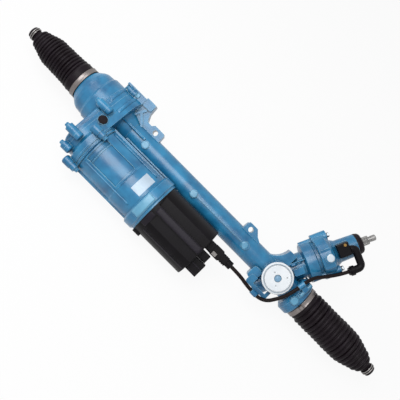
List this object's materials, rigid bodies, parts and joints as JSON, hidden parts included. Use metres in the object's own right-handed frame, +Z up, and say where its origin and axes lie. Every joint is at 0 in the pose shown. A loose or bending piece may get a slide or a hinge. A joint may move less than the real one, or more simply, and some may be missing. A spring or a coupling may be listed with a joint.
{
  "type": "electric power steering rack",
  "caption": "Belt-driven electric power-steering rack with motor, control unit, angled pinion tower and bellows boots.",
  "frame": {"origin": "centre of the bounding box's base, on the ground that the part lies on", "axes": "+X along the rack bar toward the pinion end, +Z up, +Y to the input shaft's side"},
  "size_m": [0.775, 0.2716, 0.1334],
  "materials": {
    "ball_nut": "ground and polished",
    "ball_seats": "smooth",
    "ball_sockets": "ground and polished",
    "boot_clamps": "bright",
    "boot_left": "matt",
    "boot_right": "matt",
    "cable_clips": "blue gloss paint",
    "case_plug": "matt",
    "clip_bracket": "blue gloss paint",
    "connector_screw": "turned",
    "drive_belt": "matt",
    "dust_cap": "matt",
    "ecu_board": "glass-fibre board",
    "ecu_cover": "fine grain",
    "ecu_flange": "blue gloss paint over die casting",
    "ecu_screws": "bright",
    "end_stops": "matt",
    "gear_cover": "blue gloss paint over die casting",
    "gear_cover_bolts": "blue gloss paint",
    "gear_cover_seal": "matt",
    "input_bearing": "bright",
    "input_shaft": "ground and polished",
    "motor_bearings": "bright",
    "motor_bolts": "blue gloss paint",
    "motor_housing": "blue gloss paint over die casting",
    "motor_pulley": "machined",
    "motor_rotor": "laminated sheet",
    "motor_shaft": "ground and polished",
    "motor_stator": "laminated sheet",
    "neck_clamp_left": "bright",
    "neck_clamp_right": "bright",
    "nut_bearing": "bright",
    "nut_pulley": "machined",
    "pinion": "ground and polished",
    "pinion_bearings": "bright",
    "pinion_end_cap": "pale blue paint",
    "plug_latch": "smooth",
    "power_socket": "fine grain",
    "rack_bar": "ground and polished",
    "rack_bush": "smooth",
    "rack_housing": "blue gloss paint over die casting",
    "recirculating_balls": "ground and polished",
    "sensor_cable": "matt",
    "sensor_connector": "fine grain",
    "sensor_elbow": "fine grain",
    "sensor_plug": "fine grain",
    "sensor_socket": "fine grain",
    "signal_socket": "fine grain",
    "tie_rod_left": "ground and polished",
    "tie_rod_right": "ground and polished",
    "torque_sensor": "wound coil",
    "torque_sensor_housing": "blue gloss paint over die casting",
    "torsion_bar": "ground and polished",
    "tower_bolts": "blue gloss paint",
    "tower_seal": "matt",
    "yoke": "machined",
    "yoke_plug": "satin white paint",
    "yoke_seal": "matt",
    "yoke_spring": "bright"
  },
  "bodies": {
    "housing": {"boot_clamps": "boot_clamps", "boot_left": "boot_left", "boot_right": "boot_right", "cable_clips": "cable_clips", "case_plug": "case_plug", "clip_bracket": "clip_bracket", "connector_screw": "connector_screw", "drive_belt": "drive_belt", "dust_cap": "dust_cap", "ecu_board": "ecu_board", "ecu_cover": "ecu_cover", "ecu_flange": "ecu_flange", "ecu_screws": "ecu_screws", "end_stops": "end_stops", "gear_cover": "gear_cover", "gear_cover_bolts": "gear_cover_bolts", "gear_cover_seal": "gear_cover_seal", "input_bearing": "input_bearing", "motor_bearings": "motor_bearings", "motor_bolts": "motor_bolts", "motor_housing": "motor_housing", "motor_stator": "motor_stator", "nut_bearing": "nut_bearing", "pinion_bearings": "pinion_bearings", "pinion_end_cap": "pinion_end_cap", "plug_latch": "plug_latch", "power_socket": "power_socket", "rack_bush": "rack_bush", "rack_housing": "rack_housing", "sensor_cable": "sensor_cable", "sensor_connector": "sensor_connector", "sensor_elbow": "sensor_elbow", "sensor_plug": "sensor_plug", "sensor_socket": "sensor_socket", "signal_socket": "signal_socket", "torque_sensor": "torque_sensor", "torque_sensor_housing": "torque_sensor_housing", "tower_bolts": "tower_bolts", "tower_seal": "tower_seal", "yoke": "yoke", "yoke_plug": "yoke_plug", "yoke_seal": "yoke_seal", "yoke_spring": "yoke_spring"},
    "rack": {"rack_bar": "rack_bar", "ball_sockets": "ball_sockets", "ball_seats": "ball_seats"},
    "nut": {"ball_nut": "ball_nut", "recirculating_balls": "recirculating_balls", "nut_pulley": "nut_pulley"},
    "motor": {"motor_shaft": "motor_shaft", "motor_rotor": "motor_rotor", "motor_pulley": "motor_pulley"},
    "pinion": {"pinion": "pinion"},
    "input": {"input_shaft": "input_shaft", "torsion_bar": "torsion_bar"},
    "tie_rod_left": {"tie_rod_left": "tie_rod_left", "neck_clamp_left": "neck_clamp_left"},
    "tie_rod_right": {"tie_rod_right": "tie_rod_right", "neck_clamp_right": "neck_clamp_right"}
  },
  "joints": [
    {"name": "motor_spin", "type": "hinge", "parent": "housing", "child": "motor", "pos_m": [-0.1775, -0.08097, 0.05022], "axis": [1, 0, 0], "range_deg": [-10613.98, 6984.59]},
    {"name": "rack_slide", "type": "slide", "parent": "housing", "child": "rack", "axis": [1, 0, 0], "range_m": [-0.076, 0.05], "deforming": ["boot_left", "boot_right"]},
    {"name": "nut_spin", "type": "hinge", "parent": "housing", "child": "nut", "pos_m": [-0.2085, -0.01083, 0.05238], "axis": [1, 0, 0], "range_deg": [-3909.57, 2572.43]},
    {"name": "pinion_spin", "type": "hinge", "parent": "housing", "child": "pinion", "pos_m": [0.1715, -0.00062, 0.03755], "axis": [0.4067, 0.7525, 0.518], "range_deg": [-443, 291.79]},
    {"name": "torsion_twist", "type": "hinge", "parent": "pinion", "child": "input", "pos_m": [0.20241, 0.05657, 0.07692], "axis": [0.4067, 0.7525, 0.518], "range_deg": [-4.5, 4.5], "stiffness_Nm_per_rad": 115},
    {"name": "tie_rod_left_swing", "type": "hinge", "parent": "rack", "child": "tie_rod_left", "pos_m": [-0.3325, -0.01083, 0.05238], "axis": [0, 1, 0], "range_deg": [-19, 19]},
    {"name": "tie_rod_right_swing", "type": "hinge", "parent": "rack", "child": "tie_rod_right", "pos_m": [0.3115, -0.01083, 0.05238], "axis": [0, 1, 0], "range_deg": [-19, 19]}
  ],
  "couplings": [
    {"joint": "motor_spin", "follows": "rack_slide", "rad_per_m": 2436.3},
    {"joint": "nut_spin", "follows": "rack_slide", "rad_per_m": 897.6},
    {"joint": "pinion_spin", "follows": "rack_slide", "rad_per_m": 101.51}
  ]
}
